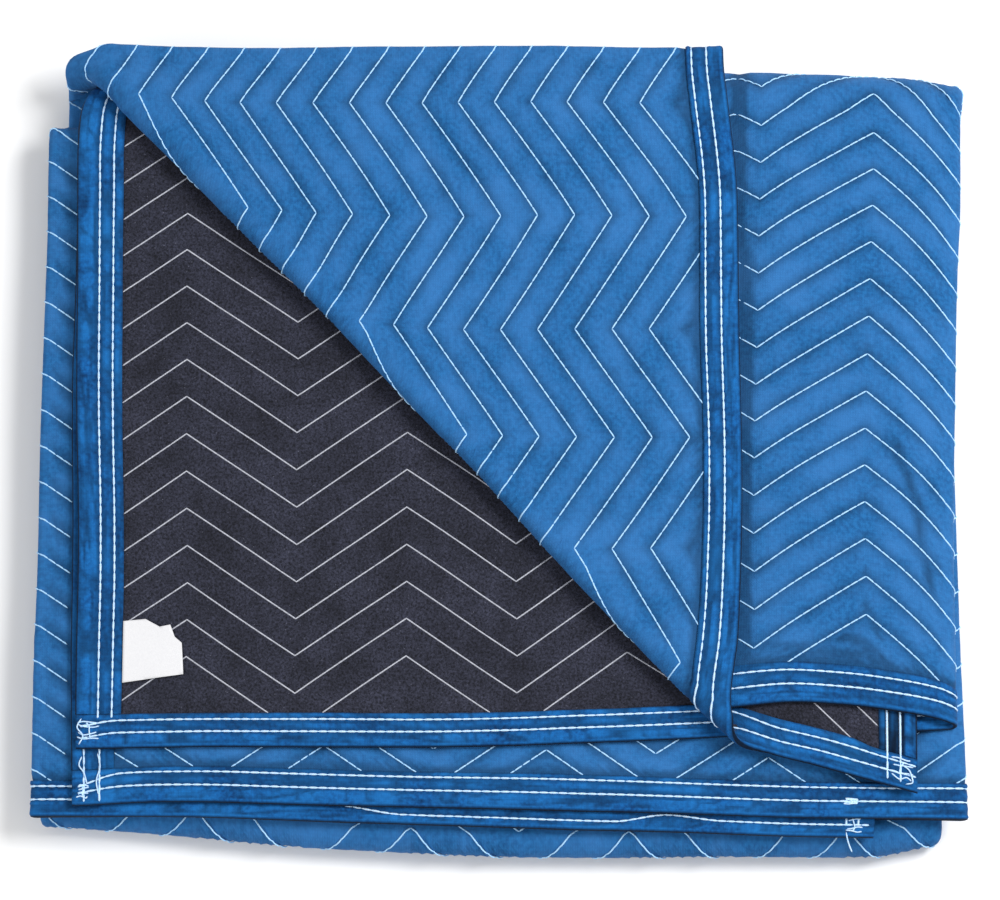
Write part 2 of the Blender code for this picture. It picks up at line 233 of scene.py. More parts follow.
def quarters(v, height):
    """Folds the length: the place from front to back, and the height over the middle of the lowest ply."""
    if v <= REAR_TURN:
        return v, TOP + height
    if v <= REAR_END:
        angle, reach = (v - REAR_TURN) / REAR_REACH, REAR_REACH + height
        return REAR_Y + reach * math.sin(angle), LOW + REAR_REACH + reach * math.cos(angle)
    if v <= FRONT_TURN:
        return REAR_Y - (v - REAR_END), LOW - height
    if v <= FRONT_END:
        angle, reach = (v - FRONT_TURN) / FRONT_REACH, FRONT_REACH + height
        return FRONT_FOLD_Y - reach * math.sin(angle), LOW + FRONT_REACH - reach * math.cos(angle)
    if v <= INNER_TURN:
        return FRONT_FOLD_Y + (v - FRONT_END), SECOND + height
    if v <= INNER_END:
        angle, reach = (v - INNER_TURN) / INNER_REACH, INNER_REACH - height
        return INNER_REAR_Y + reach * math.sin(angle), SECOND + INNER_REACH - reach * math.cos(angle)
    return INNER_REAR_Y - (v - INNER_END), THIRD - height


def along_stations(v, stations):
    """A value at v, straight between stations (v, value)."""
    for (low, near), (high, far) in zip(stations, stations[1:]):
        if v <= high:
            return mix(near, far, (v - low) / (high - low))
    return stations[-1][1]


def slipped(u, v):
    """How far the cloth has slipped along its plies, from the front edge towards the lower one."""
    lower = LEVEL_LOWER_EDGE - LOWER_EDGE(u)
    rear = REAR_SLIP(u)
    return along_stations(v, (
        (0, FRONT_SLIP(u)),
        (REAR_TURN, rear),
        (REAR_END, rear),
        (FRONT_TURN, 0),
        (FRONT_END, 0),
        (INNER_TURN, lower),
        (LENGTH, lower),
    ))


def stray_back(x, v):
    """How far back the folds stray, at a place across."""
    rear, front, inner = REAR_STRAY(x), FRONT_STRAY(x), INNER_STRAY(x)
    return along_stations(v, (
        (0, 0),
        (REAR_TURN, rear),
        (REAR_END, rear),
        (FRONT_TURN, front),
        (FRONT_END, front),
        (INNER_TURN, inner),
        (INNER_END, inner),
        (LENGTH, 0),
    ))


def turned_back(x, off_x, v, height, past):
    """A point of the corner that is turned back, which lies past the crease on the flat strip."""
    turn = math.pi * (1 - eased((v - CREASE_ENDS[0]) / (CREASE_ENDS[1] - CREASE_ENDS[0])))
    angle = min(past / CREASE_MIDDLE, turn)
    reach = CREASE_AXIS - height
    rest = past - CREASE_MIDDLE * angle
    along = off_x / math.sqrt(2)
    over = -reach * math.sin(angle) - rest * math.cos(turn) + along * math.cos(angle)
    height = CREASE_AXIS - reach * math.cos(angle) + rest * math.sin(turn) - along * math.sin(angle)
    over += CREASE / math.sqrt(2)
    beside = (x - v + off_x) / math.sqrt(2)
    x, y = (over + beside) / math.sqrt(2), (over - beside) / math.sqrt(2)
    y += STRETCH * eased((y - STRETCH_FROM) / (STRETCH_TO - STRETCH_FROM)) * eased(angle / math.pi)
    flat_z = TOP + height - DROOP * max(0, y - DROOP_FROM)
    wrapped_y, wrapped_z = quarters(y, height)
    turned = eased(angle / math.pi)
    return x, mix(wrapped_y, y, turned), mix(wrapped_z, flat_z, turned), turned


def settled(x):
    """How much of its height the stack keeps at this place across: it sinks towards its sides."""
    left = eased((SINK_FROM[0] - x) / (SINK_FROM[0] - LEFT_X))
    right = max(0, (x - SINK_FROM[1]) / (RIGHT_X - SINK_FROM[1])) ** 2
    return 1 - RIGHT_SINK * right - LEFT_SINK * left


RUMPLE = 0.0016  # how far the stack strays sideways from its even shape
RUMPLE_SIZE = 0.11
PLY_RUMPLE_SIZE = 0.03  # the sideways stray differs from ply to ply over this height
LIFTS = ((0.0026, 0.10), (0.0009, 0.035))  # how far its top strays in height, and over what distance
LIFT_LAYER = 7.3  # the layer of the noise that the lifts are taken from
RUMPLE_SEED = 43  # without one, the vector noise is different in each run
noise.seed_set(RUMPLE_SEED)


def rumpled(place):
    """Moves a place of the stack with its neighbours, so that the plies stay apart."""
    seen_from = Vector((place.x / RUMPLE_SIZE, place.y / RUMPLE_SIZE, place.z / PLY_RUMPLE_SIZE))
    stray = noise.noise_vector(seen_from) * RUMPLE
    lift = sum(
        far * noise.noise(Vector((place.x / size, place.y / size, LIFT_LAYER))) for far, size in LIFTS
    )
    full_height = 4 * 3 * PLY
    return place + Vector((stray.x, stray.y, lift * place.z / full_height))


def stacked(u, v, n):
    """The place in the folded stack of a point of the flat blanket, before it is set on the frame."""
    x, height = thirds(u, n)
    middle_x = thirds(u, 0)[0]
    if u < RIGHT_TURN:
        drawn_in = LEFT_DRAWN_IN(v) * (1 - u / RIGHT_TURN)
    else:
        drawn_in = -TUCKED_DRAWN_IN(v) * max(0, (u - TUCK_START) / (WIDTH - TUCK_START)) ** 2
    x, middle_x = x + drawn_in, middle_x + drawn_in
    stray_across = mix(LEFT_STRAY(v), RIGHT_STRAY(v), middle_x / RIGHT_X)
    v += slipped(u, v)
    past = (CREASE - middle_x - v) / math.sqrt(2)
    keeps = settled(middle_x)
    on_top = u > RIGHT_TURN and v <= REAR_END
    if on_top and past > 0:
        x, y, z, turned = turned_back(middle_x, x - middle_x, v, height, past)
        keeps = mix(keeps, 1, turned)
        stray_across *= 1 - turned
    else:
        y, z = quarters(v, height)
        y += stray_back(middle_x, v)
    x += stray_across
    if v <= REAR_END:
        on_shoulder = max(0, (x - RIGHT_X) / SHOULDER_WIDTH + 1) ** 2
        x -= SHOULDER * on_shoulder * (1 - eased((v - REAR_TURN) / (REAR_END - REAR_TURN)))
    if on_top:
        across = (x + y - CREASE) / math.sqrt(2)
        bow = BOW((x - y) / math.sqrt(2)) * math.exp(-(across / BOW_REACH) ** 2)
        bow *= (1 - eased((v - REAR_TURN) / (REAR_END - REAR_TURN))) / math.sqrt(2)
        x, y = x + bow, y + bow
    lowest = PLY / 2 - CLOTH / 2
    return Vector((x, y, (z - lowest) * keeps))


# The label shows how far the frame's origin is from the stack's. This is the corner of the solid label, as
# the stack counts.
LABEL_CORNER = Vector((0.0296, 0.0478, 0))
to_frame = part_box("label")[0] - LABEL_CORNER
to_frame.z = 0


def folded(u, v, n):
    return rumpled(stacked(u, v, n)) + to_frame


# The blanket is cut a little askew. This is how far its rows have run off sideways at the lower edge.
ASKEW = 0.0217


def first_peak(v):
    """Where a row has its first peak, by its place along v."""
    return FIRST_PEAK + ASKEW * max(0, v - FRONT_END) / (LENGTH - FRONT_END)


def zigzag(u, v):
    """How far a quilting row is from its middle, along v."""
    place = (u - first_peak(v)) / ZIGZAG_PERIOD % 1
    return ZIGZAG_HEIGHT * (abs(2 * place - 1) - 0.5)


def from_row(u, v):
    """How near a place is to a quilting row: 1 on it, 0 half way to the next."""
    return abs(2 * ((v - zigzag(u, v) - FIRST_LINE) / LINE_PITCH % 1) - 1)


# How the binding tapes lie on each edge, measured from it: their outer row of stitches, their inner row,
# and where they end.
FRONT_TAPE = columns(
    # u, outer row, inner row, end
    (0.000, 0.0060, 0.0140, 0.0222),
    (0.030, 0.0100, 0.0182, 0.0222),
    (0.600, 0.0100, 0.0182, 0.0222),
    (0.630, 0.0115, 0.0205, 0.0255),
    (0.800, 0.0115, 0.0205, 0.0255),
    (1.260, 0.0117, 0.0223, 0.0260),
    (1.720, 0.0117, 0.0223, 0.0260),
    (1.760, 0.0100, 0.0186, 0.0245),
    (1.806, 0.0100, 0.0186, 0.0245),
    (1.822, 0.0100, 0.0180, 0.0222),
    (WIDTH, 0.0100, 0.0172, 0.0222),
)
LOWER_TAPE = columns(
    # u, outer row, inner row, end
    (0.000, 0.0080, 0.0115, 0.0240),
    (0.035, 0.0115, 0.0205, 0.0240),
    (0.600, 0.0115, 0.0210, 0.0245),
    (1.460, 0.0115, 0.0205, 0.0245),
    (1.510, 0.0060, 0.0175, 0.0245),
    (1.660, 0.0060, 0.0175, 0.0245),
    (1.700, 0.0115, 0.0205, 0.0245),
    (1.740, 0.0085, 0.0185, 0.0245),
    (WIDTH, 0.0085, 0.0185, 0.0240),
)
LEFT_TAPE = columns(
    # v, outer row, inner row, end
    (0.0, 0.0150, 0.0245, 0.0310),
    (LENGTH - 0.4, 0.0150, 0.0245, 0.0310),
    (LENGTH - 0.1, 0.0082, 0.0190, 0.0290),
    (LENGTH, 0.0082, 0.0190, 0.0290),
)
TUCKED_TAPE = columns(
    # v, outer row, inner row, end
    (0.0, 0.0122, 0.0212, 0.0268),
    (LENGTH, 0.0122, 0.0212, 0.0268),
)


def from_tapes(u, v):
    """How far a place is inside the end of the nearest tape."""
    return min(
        v - FRONT_TAPE[2](u),
        LENGTH - v - LOWER_TAPE[2](u),
        u - LEFT_TAPE[2](v),
        WIDTH - u - TUCKED_TAPE[2](v),
    )


BENDS_ACROSS = ((RIGHT_TURN, TOP_START), (LEFT_TURN, TUCK_START))
BENDS_BACK = ((REAR_TURN, REAR_END), (FRONT_TURN, FRONT_END), (INNER_TURN, INNER_END))
BEND_SOFT = 0.010  # over what distance the quilting fades into a bend


def within(at, low, high):
    """1 where a value is in its range, easing to 0 just outside."""
    return 1 - eased(max(low - at, at - high) / BEND_SOFT)


def past_crease(u, v):
    """How far a place is past the crease of the corner, on the flat strip."""
    return (CREASE - thirds(u, 0)[0] - v - slipped(u, v)) / math.sqrt(2)


def in_crease(u, v, margin):
    in_corner = u > RIGHT_TURN and v < REAR_END
    return in_corner and -margin < past_crease(u, v) < math.pi * CREASE_MIDDLE + margin


def bent(u, v):
    """Whether the cloth is in a fold, which presses its quilting flat."""
    across = max(within(u, *bend) for bend in BENDS_ACROSS)
    back = max(within(v, *bend) for bend in BENDS_BACK)
    near_corner = in_crease(u, v, BEND_SOFT)
    corner = within(past_crease(u, v), 0, math.pi * CREASE_MIDDLE) if near_corner else 0
    return max(across, back, corner)


DENT = 0.0009  # how far the quilting rows are drawn in
DENT_IN_BENDS = 0.08  # what share of it is left in a bend
PUCKER = 0.00025  # the cloth's own small waves between the rows
PUCKER_SIZE = 0.014
# Soft creases pressed into the blue side, which also darken its colour through how raised it is, as painted
# shade: how deep, how wide, and the places (u, v) that each runs through.
CREASES = (
    # along the edge of the turned corner, which lies on it; its darker colour here is painted shade
    (0.0017, 0.0070, ((0.771, -0.010), (0.768, 0.200), (0.779, 0.450))),
    (0.0008, 0.0060, ((0.688, 0.070), (0.681, 0.060), (0.677, 0.050))),
    (0.0013, 0.0050, ((0.700, 0.043), (0.686, 0.040), (0.675, 0.034), (0.664, 0.024))),
    (0.0008, 0.0080, ((0.755, 0.037), (0.710, 0.033), (0.690, 0.034))),
    (0.0010, 0.0070, ((0.664, 0.180), (0.648, 0.140), (0.640, 0.090))),
    (0.0010, 0.0070, ((1.640, 0.160), (1.690, 0.120), (1.735, 0.060))),
    (0.0009, 0.0070, ((1.560, 0.290), (1.630, 0.270), (1.690, 0.210))),
)
SWELL = 0.007  # how soon the cloth is at its full height, from the end of a tape


def creased_in(u, v):
    """How deep the deepest crease is at a place."""
    deepest = 0.0
    for depth, width, places in CREASES:
        for (low_u, low_v), (high_u, high_v) in zip(places, places[1:]):
            run_u, run_v = high_u - low_u, high_v - low_v
            share = ((u - low_u) * run_u + (v - low_v) * run_v) / (run_u ** 2 + run_v ** 2)
            share = min(max(share, 0.0), 1.0)
            away = math.hypot(u - mix(low_u, high_u, share), v - mix(low_v, high_v, share))
            deepest = max(deepest, depth * (1 - eased(away / width)))
    return deepest


def cloth_height(u, v, side):
    """How high the cloth stands over the middle of the blanket."""
    waves = noise.noise(Vector((u, v, 0)) / PUCKER_SIZE)
    dent = DENT * mix(1, DENT_IN_BENDS, bent(u, v))
    if side > 0:
        dent = max(dent * from_row(u, v) ** 2, creased_in(u, v))
    else:
        dent *= from_row(u, v) ** 2
    full = CLOTH / 2 - dent - PUCKER * (1 + waves)
    return mix(PRESSED_CLOTH / 2, full, eased(from_tapes(u, v) / SWELL))


def marks(start, end, step, phase=0.0):
    """Places from start to just before end, on a rhythm."""
    steps = range(math.ceil((start - phase) / step), math.ceil((end - phase) / step))
    inside = [phase + step * i for i in steps]
    return [start] + [mark for mark in inside if start + step / 3 < mark < end - step / 3]


def lines_across(steps):
    """The columns of a cloth's grid: u, by the steps for its flat parts and for its two folds."""
    flat, fold = steps
    return [
        *marks(0, RIGHT_TURN, flat, FIRST_PEAK),
        *marks(RIGHT_TURN, TOP_START, fold),
        *marks(TOP_START, LEFT_TURN, flat, FIRST_PEAK),
        *marks(LEFT_TURN, TUCK_START, fold),
        *marks(TUCK_START, WIDTH, flat, FIRST_PEAK),
        WIDTH,
    ]


NEAR_FOLD = 0.03  # how far from a turn the cloth still shows


def lines_back(fine, coarse):
    """The rows of a cloth's grid: fine on the top, at the folds and at the cut edge, coarse elsewhere."""
    return [
        *marks(0, REAR_END, fine, FIRST_LINE),
        *marks(REAR_END, FRONT_TURN - NEAR_FOLD, coarse, FIRST_LINE),
        *marks(FRONT_TURN - NEAR_FOLD, FRONT_END + NEAR_FOLD, fine, FIRST_LINE),
        *marks(FRONT_END + NEAR_FOLD, INNER_TURN, coarse, FIRST_LINE),
        *marks(INNER_TURN, INNER_END, fine, FIRST_LINE),
        *marks(INNER_END, LENGTH - 2 * NEAR_FOLD, coarse, FIRST_LINE),
        *marks(LENGTH - 2 * NEAR_FOLD, LENGTH, fine, FIRST_LINE),
        LENGTH,
    ]


def grid(columns, rows):
    """A bmesh grid, and for each of its corners the column and the row that it lies on."""
    mesh = bmesh.new()
    bmesh.ops.create_grid(mesh, x_segments=len(columns) - 1, y_segments=len(rows) - 1, size=1)
    places = {}
    for vert in mesh.verts:
        column = round((vert.co.x + 1) / 2 * (len(columns) - 1))
        row = round((vert.co.y + 1) / 2 * (len(rows) - 1))
        places[vert] = columns[column], rows[row]
    return mesh, places


def fold_up(mesh, low, high):
    """Folds a flat mesh, and turns its faces, since folding mirrors.

    Each place on the flat cloth is kept as a UV, and how raised it is, from low to high, as a number, which
    the woven materials turn into painted shade in the valleys and painted light on the ridges.
    """
    flat = mesh.loops.layers.uv.new("flat")
    raised = mesh.verts.layers.float.new("raised")
    for face in mesh.faces:
        for loop in face.loops:
            loop[flat].uv = loop.vert.co.xy
    for vert in mesh.verts:
        vert[raised] = (abs(vert.co.z) - low) / (high - low)
        vert.co = folded(*vert.co)
    bmesh.ops.reverse_faces(mesh, faces=mesh.faces)


def piece(name, mesh, material, slot, *nodes):
    """Makes a finished mesh a smooth object in the frame, in place of the solids named."""
    for face in mesh.faces:
        face.smooth = True
    data = bpy.data.meshes.new(name)
    mesh.to_mesh(data)
    mesh.free()
    data.materials.append(material)
    made = bpy.data.objects.new(name, data)
    bpy.context.scene.collection.objects.link(made)
    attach(made, "root")
    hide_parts(*nodes)
    return made


STRAIGHT_ROWS = 0.03  # how far in from the edges the grid's rows begin to follow the quilting
NEAR_CREASE = 0.004  # how far from the corner's crease the grid is cut finer


def quilted_cloth(side, steps_across, fine, coarse):
    """One cloth as a grid whose rows follow the quilting, pressed down towards the middle at its edges."""
    mesh, places = grid(lines_across(steps_across), lines_back(fine, coarse))
    for vert, (u, v) in places.items():
        vert.co = (u, v + zigzag(u, v) * min(v, LENGTH - v, STRAIGHT_ROWS) / STRAIGHT_ROWS, 0)
    bent_sharply = [
        edge for edge in mesh.edges if all(in_crease(*vert.co.xy, NEAR_CREASE) for vert in edge.verts)
    ]
    bmesh.ops.subdivide_edges(mesh, edges=bent_sharply, cuts=2, use_grid_fill=True)
    for vert in mesh.verts:
        vert.co.z = side * cloth_height(*vert.co.xy, side)
    if side < 0:
        bmesh.ops.reverse_faces(mesh, faces=mesh.faces)
    fold_up(mesh, CLOTH / 2 - DENT - PUCKER, CLOTH / 2 - PUCKER)
    return mesh


def linear(hex_colour):
    """An sRGB colour such as #2F6FAE as linear red, green, blue and a full alpha."""
    parts = [int(hex_colour[i:i + 2], 16) / 255 for i in (1, 3, 5)]
    return [p / 12.92 if p <= 0.04045 else ((p + 0.055) / 1.055) ** 2.4 for p in parts] + [1]


def add(tree, kind, inputs=(), **settings):
    """Adds a node with its settings. inputs gives each socket a value, or the socket that feeds it.

    A socket goes by its name, or by its number where the node has several of one name.
    """
    node = tree.nodes.new(kind)
    for name, value in settings.items():
        setattr(node, name, value)
    for name, value in dict(inputs).items():
        if isinstance(value, bpy.types.NodeSocket):
            tree.links.new(value, node.inputs[name])
        else:
            node.inputs[name].default_value = value
    return node


def new_material(name, **settings):
    """A material with its node tree and shader. The settings are the shader's own plain values."""
    material = bpy.data.materials.new(name)
    material.use_nodes = True
    shader = material.node_tree.nodes["Principled BSDF"]
    for socket, value in settings.items():
        shader.inputs[socket.replace("_", " ")].default_value = value
    return material, material.node_tree, shader


MM = 0.001
# The cloth has about 20 threads to the centimetre. They are drawn at 6, so that they show in the render.
THREAD_MM = 1.7


def woven_polyester(name, light, dark, washed, shade_in_valleys, light_on_ridges):
    """Plain woven polyester: matt with a weak sheen, mottled by washing, with fine threads both ways.

    Its colour is darkened in the valleys of the sewing and lightened on its ridges, by how raised the cloth
    is: painted shade and painted light.
    """
    material, tree, shader = new_material(
        name, Roughness=0.85, Sheen_Weight=0.03, Sheen_Roughness=0.5, Specular_IOR_Level=0.12,
    )
    flat = add(tree, "ShaderNodeUVMap", uv_map="flat").outputs["UV"]
    threads = [
        add(tree, "ShaderNodeTexWave", {
            "Vector": flat, "Scale": 2 * math.pi / (20 * THREAD_MM * MM), "Distortion": 1.5, "Detail": 1.0,
            "Detail Scale": 0.5,
        }, bands_direction=way).outputs["Fac"]
        for way in ("X", "Y")
    ]
    weave = add(tree, "ShaderNodeMath", {0: threads[0], 1: threads[1]}, operation="MULTIPLY").outputs[0]
    grain = add(tree, "ShaderNodeTexNoise", {
        "Vector": flat, "Scale": 1 / (3 * MM), "Detail": 4.0,
    }).outputs["Fac"]
    wear = add(tree, "ShaderNodeTexNoise", {
        "Vector": flat, "Scale": 1 / (45 * MM), "Detail": 6.0, "Roughness": 0.65,
    }).outputs["Fac"]
    shade = add(tree, "ShaderNodeMapRange", {0: grain, 1: 0.36, 2: 0.64}).outputs[0]
    cloth = add(tree, "ShaderNodeMix", {
        0: shade, 6: linear(dark), 7: linear(light),
    }, data_type="RGBA").outputs[2]
    worn = add(tree, "ShaderNodeMapRange", {0: wear, 1: 0.38, 2: 0.64, 3: 0.2, 4: 0.75}).outputs[0]
    colour = add(tree, "ShaderNodeMix", {
        0: worn, 6: cloth, 7: linear(washed),
    }, data_type="RGBA").outputs[2]
    between = add(tree, "ShaderNodeMapRange", {0: weave, 3: 0.96, 4: 1.04}).outputs[0]
    woven = add(tree, "ShaderNodeMix", {
        0: 1.0, 6: colour, 7: between,
    }, data_type="RGBA", blend_type="MULTIPLY").outputs[2]
    # Painted shade in the valleys and painted light on the ridges, from how raised the cloth is
    raised = add(tree, "ShaderNodeAttribute", attribute_name="raised").outputs["Fac"]
    depth = add(tree, "ShaderNodeMapRange", {
        0: raised, 1: 0.05, 2: 0.9, 3: shade_in_valleys, 4: light_on_ridges,
    }).outputs[0]
    shaded = add(tree, "ShaderNodeMix", {
        0: 1.0, 6: woven, 7: depth,
    }, data_type="RGBA", blend_type="MULTIPLY")
    tree.links.new(shaded.outputs[2], shader.inputs["Base Color"])
    crumple = add(tree, "ShaderNodeTexNoise", {
        "Vector": flat, "Scale": 1 / (12 * MM), "Detail": 5.0, "Roughness": 0.6,
    }).outputs["Fac"]
    waves = add(tree, "ShaderNodeBump", {
        "Strength": 0.6, "Distance": 1.8 * MM, "Height": crumple,
    }).outputs[0]
    bump = add(tree, "ShaderNodeBump", {
        "Strength": 0.35, "Distance": 0.3 * MM, "Height": weave, "Normal": waves,
    })
    tree.links.new(bump.outputs[0], shader.inputs["Normal"])
    return material


BLUE_CELLS = (0.00762, 0.0014)  # how wide the grid's cells are on the flat and in the folds
blue_cloth = piece(
    "blue_cloth",
    quilted_cloth(1, BLUE_CELLS, LINE_PITCH / 8, LINE_PITCH / 2),
    # mottled colours, with painted shade of 0.54 in the valleys and painted light of 1.06 on the ridges
    woven_polyester("washed woven polyester", "#1A6099", "#0D477A", "#346EAA", 0.54, 1.06),
    "blue_cloth",
    "face_panel",
)

# ---------------------------------------------------------------- The black cloth
# The reverse of the blanket: a panel of charcoal felted polyester, needled from recycled fibres, and
# quilted with the blue one. It shows on the plies that the turned-back corner uncovers.


def felted_polyester(name, light, dark, fleck):
    """Needled felt: quite matt and dark, with paler fibres and flecks in it."""
    material, tree, shader = new_material(name, Roughness=0.95, Sheen_Weight=0.15, Specular_IOR_Level=0.2)
    flat = add(tree, "ShaderNodeUVMap", uv_map="flat").outputs["UV"]
    fibres = add(tree, "ShaderNodeTexNoise", {
        "Vector": flat, "Scale": 1 / (1.6 * MM), "Detail": 4.0, "Roughness": 0.7, "Distortion": 0.6,
    }).outputs["Fac"]
    clouds = add(tree, "ShaderNodeTexNoise", {
        "Vector": flat, "Scale": 1 / (40 * MM), "Detail": 6.0, "Roughness": 0.75,
    }).outputs["Fac"]
    specks = add(tree, "ShaderNodeTexVoronoi", {"Vector": flat, "Scale": 1 / (5 * MM)}).outputs["Distance"]
    shade = add(tree, "ShaderNodeMapRange", {0: fibres, 1: 0.38, 2: 0.64}).outputs[0]
    felt = add(tree, "ShaderNodeMix", {
        0: shade, 6: linear(dark), 7: linear(light),
    }, data_type="RGBA").outputs[2]
    flecks = add(tree, "ShaderNodeMapRange", {0: specks, 1: 0.10, 2: 0.04, 4: 0.5}).outputs[0]
    flecked = add(tree, "ShaderNodeMix", {
        0: flecks, 6: felt, 7: linear(fleck),
    }, data_type="RGBA").outputs[2]
    cloudy = add(tree, "ShaderNodeMapRange", {0: clouds, 1: 0.3, 2: 0.7, 3: 0.5, 4: 1.5}).outputs[0]
    mixed = add(tree, "ShaderNodeMix", {
        0: 1.0, 6: flecked, 7: cloudy,
    }, data_type="RGBA", blend_type="MULTIPLY")
    tree.links.new(mixed.outputs[2], shader.inputs["Base Color"])
    bump = add(tree, "ShaderNodeBump", {"Strength": 0.6, "Distance": 0.5 * MM, "Height": fibres})
    tree.links.new(bump.outputs[0], shader.inputs["Normal"])
    return material


BLACK_CELLS = (0.01524, 0.0028)
black_cloth = piece(
    "black_cloth",
    quilted_cloth(-1, BLACK_CELLS, LINE_PITCH / 6, LINE_PITCH),
    felted_polyester("charcoal needled felt", "#333544", "#12131B", "#666877"),
    "black_cloth",
    "back_panel",
)

# ---------------------------------------------------------------- The bindings
# Each cut edge is bound with a tape of blue woven polyester, folded round it and sewn through with two rows
# of stitches. The rows draw the tape in, so it stands in soft ribs beside them and puckers along them.

TAPE = 0.0005
EDGE_ROUND = 0.0020  # the radius in which it turns round the cut edge
TAPE_STEPS = 36  # from end to end, round the edge
# How high it stands over the middle of the cloth: where it is sewn down, and on the ribs beside that.
AT_ROWS = 0.0013
OUTSIDE_ROWS = 0.0027
BETWEEN_ROWS = 0.0021
INSIDE_ROWS = 0.0023
AT_END = 0.0017
# Its waves, the creases that run along it and the nicks that run across: their size along it, across it,
# and the layer of the noise that they are taken from.
WAVE = 0.0004
WAVES = (0.012, 0.010, 0)
CREASE_DEPTH = 0.0014
CREASE_HALF = 0.25  # how wide they are, as the noise counts
TAPE_CREASES = (0.075, 0.0062, 5)
TAPE_NICKS = (0.017, 0.030, 9)
NICK_DEPTH = 0.9  # as a share of a crease's


def noise_on_tape(along, reach, side, pattern):
    size_along, size_across, layer = pattern
    return noise.noise(Vector((along / size_along, reach / size_across, side + layer)))


def creased(*place):
    """1 along the narrow creases that wander over a tape, 0 away from them."""
    return max(0.0, 1 - abs(noise_on_tape(*place)) / CREASE_HALF)


def tape_height(reach, along, side, rows_at):
    """How high the tape stands, with its ribs, and with the creases that its rows pull in it."""
    outer, inner, end = (row(along) for row in rows_at)
    ribs = (
        (EDGE_ROUND, EDGE_ROUND),
        (mix(EDGE_ROUND, outer, 0.5), OUTSIDE_ROWS),
        (outer, AT_ROWS),
        (mix(outer, inner, 0.5), BETWEEN_ROWS),
        (inner, AT_ROWS),
        (mix(inner, end, 0.5), INSIDE_ROWS),
        (end, AT_END),
    )
    reach = min(max(reach, EDGE_ROUND), end)
    (low, near), (high, far) = next(pair for pair in zip(ribs, ribs[1:]) if reach <= pair[1][0])
    height = mix(near, far, eased((reach - low) / (high - low)))
    free = (height - AT_ROWS) / (OUTSIDE_ROWS - AT_ROWS)
    waves = noise_on_tape(along, reach, side, WAVES)
    creases = creased(along, reach, side, TAPE_CREASES)
    nicks = creased(along, reach, side, TAPE_NICKS)
    height += free * (WAVE * waves - CREASE_DEPTH * max(creases, NICK_DEPTH * nicks))
    return max(height, AT_ROWS)


def tape_mesh(lines, edge_at, runs_along_u, rows_at):
    """A tape round one edge: its lines along the edge, where the edge is, and its rows and end."""
    quarter = EDGE_ROUND * math.pi / 2
    mesh, places = grid(lines, [2 * i / TAPE_STEPS - 1 for i in range(TAPE_STEPS + 1)])
    inward = 1 if edge_at == 0 else -1
    for vert, (along, share) in places.items():
        around = share * (quarter + rows_at[2](along) - EDGE_ROUND)
        if abs(around) < quarter:
            angle = around / EDGE_ROUND
            reach, n = EDGE_ROUND * (1 - math.cos(angle)), EDGE_ROUND * math.sin(angle)
        else:
            reach = EDGE_ROUND + abs(around) - quarter
            side = math.copysign(1, around)
            n = side * tape_height(reach, along, side, rows_at)
        place = edge_at + inward * reach
        vert.co = (along, place, n) if runs_along_u else (place, along, n)
    bmesh.ops.recalc_face_normals(mesh, faces=mesh.faces)
    bmesh.ops.solidify(mesh, geom=mesh.faces, thickness=TAPE)
    bmesh.ops.recalc_face_normals(mesh, faces=mesh.faces)
    fold_up(mesh, AT_ROWS, OUTSIDE_ROWS)
    return mesh


# The tapes along the length begin and end between the other two, with a small gap.
SEAM_GAP = 0.0003
CELLS_ACROSS = (0.0034, 0.0015)
CELLS_BACK = (0.0032, 0.0064)
NARROWEST_CELL = 0.002
across_lines = lines_across(CELLS_ACROSS)
seam_front, seam_rear = FRONT_TAPE[2](0) + SEAM_GAP, LENGTH - LOWER_TAPE[2](0) - SEAM_GAP
back_lines = [
    seam_front,
    *(v for v in lines_back(*CELLS_BACK) if seam_front + NARROWEST_CELL < v < seam_rear - NARROWEST_CELL),
    seam_rear,
]
BINDINGS = (
    # node, lines along it, where its edge is, whether it runs along u, its rows and end
    ("front_binding", across_lines, 0, True, FRONT_TAPE),
    ("lower_binding", across_lines, LENGTH, True, LOWER_TAPE),
    ("left_binding", back_lines, 0, False, LEFT_TAPE),
    ("tucked_binding", back_lines, WIDTH, False, TUCKED_TAPE),
)
# The tape's colour is darkened strongly in its valleys, beside the rows and at its end, and lightened on
# its ribs: painted shade and painted light.
tape_cloth = woven_polyester("woven polyester tape", "#0E5291", "#042A5C", "#1B66A6", 0.10, 1.20)
tapes = [
    piece(f"{node}_tape", tape_mesh(*shape), tape_cloth, "blue_binding", node)
    for node, *shape in BINDINGS
]


def surface(u, v, side):
    """How high the sewn blanket stands over its middle: a tape where there is one, else the cloth."""
    for _, _, edge_at, runs_along_u, rows_at in BINDINGS:
        along, across = (u, v) if runs_along_u else (v, u)
        reach = abs(across - edge_at)
        if reach < rows_at[2](along):
            return tape_height(reach, along, side, rows_at)
    return cloth_height(u, v, side)


# ---------------------------------------------------------------- The quilting thread
# White polyester thread. On the blue side it lies in short stitches that dive at each needle hole, and on
# the black side it is the bobbin thread, which lies flat and looks like an unbroken line.

STITCHES_PER_SLANT = 14
STITCH_ALONG_U = ZIGZAG_PERIOD / 2 / STITCHES_PER_SLANT
PARTS = 4  # the lengths that one stitch is made of
SIDES = 4  # of a thread
# How high the middle of a thread is over the cloth at each part of a stitch, from its hole, and its radius.
BLUE_SIDE_LIFTS = (-0.00040, 0.00030, 0.00040, 0.00030)
BLACK_SIDE_LIFTS = (0.00005, 0.00020, 0.00025, 0.00020)
QUILTING_THREAD = 0.00056
BOBBIN_THREAD = 0.00052
UNDER_TAPE = 0.001  # how far the rows run on under a tape
JUST_OVER = 0.001  # a step off the cloth, to find which way is up

